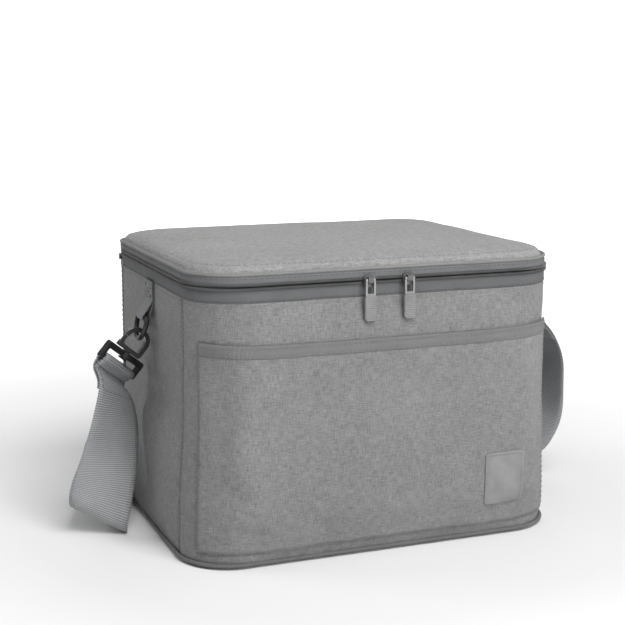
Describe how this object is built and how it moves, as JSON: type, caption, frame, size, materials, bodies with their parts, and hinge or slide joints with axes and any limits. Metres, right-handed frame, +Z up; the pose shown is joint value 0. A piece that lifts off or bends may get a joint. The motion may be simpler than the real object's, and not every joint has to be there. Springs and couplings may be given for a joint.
{
  "type": "insulated cooler bag",
  "caption": "Box-shaped soft cooler bag with a zipped hinged lid, a foam-insulated lined cavity, an open front pocket and a clip-on webbing shoulder strap.",
  "frame": {"origin": "centre of the bag's flat base, where it rests on the ground", "axes": "+Z up, front with the pocket faces -Y, +X to the right seen from the front"},
  "size_m": [0.4421, 0.294, 0.228],
  "materials": {
    "body_fabric": "woven heather polyester",
    "lid_fabric": "woven heather polyester",
    "piping_fabric": "folded tape",
    "lining_film": "soft silver film",
    "binding_tape": "ribbed tape",
    "insulation_foam": "closed-cell foam",
    "base_board": "smooth",
    "patch": "satin",
    "zip_tape": "ribbed woven tape",
    "zip_coil": "satin",
    "zip_metal": "satin",
    "pull_grip": "soft satin",
    "black_plastic": "satin",
    "strap_webbing": "ribbed webbing"
  },
  "bodies": {
    "bag": {"base_panel": "body_fabric", "base_board": "base_board", "base_foam": "insulation_foam", "wall_foam": "insulation_foam", "front_panel": "body_fabric", "back_panel": "body_fabric", "left_side_panel": "body_fabric", "right_side_panel": "body_fabric", "liner_tub": "lining_film", "rim_binding": "binding_tape", "bottom_piping": "piping_fabric", "pocket_panel": "body_fabric", "pocket_hem": "piping_fabric", "label_patch": "patch", "zipper_tape_lower": "zip_tape", "zipper_coil_lower": "zip_coil", "zipper_end_stops": "zip_coil", "back_hinge_strip": "body_fabric", "left_ring_tab": "strap_webbing", "right_ring_tab": "strap_webbing"},
    "lid": {"lid_top_panel": "lid_fabric", "lid_foam": "insulation_foam", "lid_liner": "lining_film", "lid_piping": "piping_fabric", "zipper_tape_upper": "zip_tape", "zipper_coil_upper": "zip_coil", "lid_back_band": "body_fabric"},
    "left_slider": {"left_zip_slider": "zip_metal"},
    "right_slider": {"right_zip_slider": "zip_metal"},
    "left_pull": {"left_pull_tab": "zip_metal", "left_pull_grip": "pull_grip"},
    "right_pull": {"right_pull_tab": "zip_metal", "right_pull_grip": "pull_grip"},
    "left_ring": {"left_d_ring": "black_plastic"},
    "right_ring": {"right_d_ring": "black_plastic"},
    "strap": {"strap_left_run": "strap_webbing", "strap_rear_run": "strap_webbing", "strap_right_run": "strap_webbing", "left_strap_frame": "black_plastic", "right_strap_frame": "black_plastic"},
    "adjuster": {"strap_adjuster": "black_plastic"},
    "left_hook": {"left_snap_hook": "black_plastic"},
    "right_hook": {"right_snap_hook": "black_plastic"},
    "left_gate": {"left_hook_gate": "black_plastic"},
    "right_gate": {"right_hook_gate": "black_plastic"}
  },
  "joints": [
    {"name": "lid_hinge", "type": "hinge", "parent": "bag", "child": "lid", "pos_m": [0, 0.126, 0.211], "axis": [-1, 0, 0], "range_deg": [0, 105]},
    {"name": "left_slider_run", "type": "slide", "parent": "bag", "child": "left_slider", "axis": [-1, 0, 0], "range_m": [-0.006, 0.085]},
    {"name": "right_slider_run", "type": "slide", "parent": "bag", "child": "right_slider", "axis": [1, 0, 0], "range_m": [-0.006, 0.085]},
    {"name": "left_pull_swing", "type": "hinge", "parent": "left_slider", "child": "left_pull", "pos_m": [-0.018, -0.1317, 0.2116], "axis": [-1, 0, 0], "range_deg": [0, 150]},
    {"name": "right_pull_swing", "type": "hinge", "parent": "right_slider", "child": "right_pull", "pos_m": [0.014, -0.1317, 0.2116], "axis": [-1, 0, 0], "range_deg": [0, 150]},
    {"name": "left_ring_swing", "type": "hinge", "parent": "bag", "child": "left_ring", "pos_m": [-0.1575, 0, 0.172], "axis": [0, 1, 0], "range_deg": [0, 6]},
    {"name": "right_ring_swing", "type": "hinge", "parent": "bag", "child": "right_ring", "pos_m": [0.1575, 0, 0.172], "axis": [0, -1, 0], "range_deg": [0, 6]},
    {"name": "strap_swing", "type": "hinge", "parent": "bag", "child": "strap", "pos_m": [0, 0, 0.16814], "axis": [1, 0, 0], "range_deg": [0, 45]},
    {"name": "adjuster_slide", "type": "slide", "parent": "strap", "child": "adjuster", "axis": [1, 0, 0], "range_m": [-0.07, 0.07]},
    {"name": "left_hook_swivel", "type": "hinge", "parent": "strap", "child": "left_hook", "pos_m": [-0.17309, 0, 0.14159], "axis": [-0.6428, 0, -0.766], "range_deg": [-20, 20]},
    {"name": "left_gate_pivot", "type": "hinge", "parent": "left_hook", "child": "left_gate", "pos_m": [-0.17615, 0, 0.15225], "axis": [0, 1, 0], "range_deg": [0, 22], "stiffness_Nm_per_rad": 0.01, "springref_deg": -17.19},
    {"name": "right_hook_swivel", "type": "hinge", "parent": "strap", "child": "right_hook", "pos_m": [0.17865, 0, 0.1505], "axis": [0.9703, 0, -0.2419], "range_deg": [-20, 20]},
    {"name": "right_gate_pivot", "type": "hinge", "parent": "right_hook", "child": "right_gate", "pos_m": [0.17486, 0, 0.16093], "axis": [0, -1, 0], "range_deg": [0, 22], "stiffness_Nm_per_rad": 0.01, "springref_deg": -17.19}
  ]
}
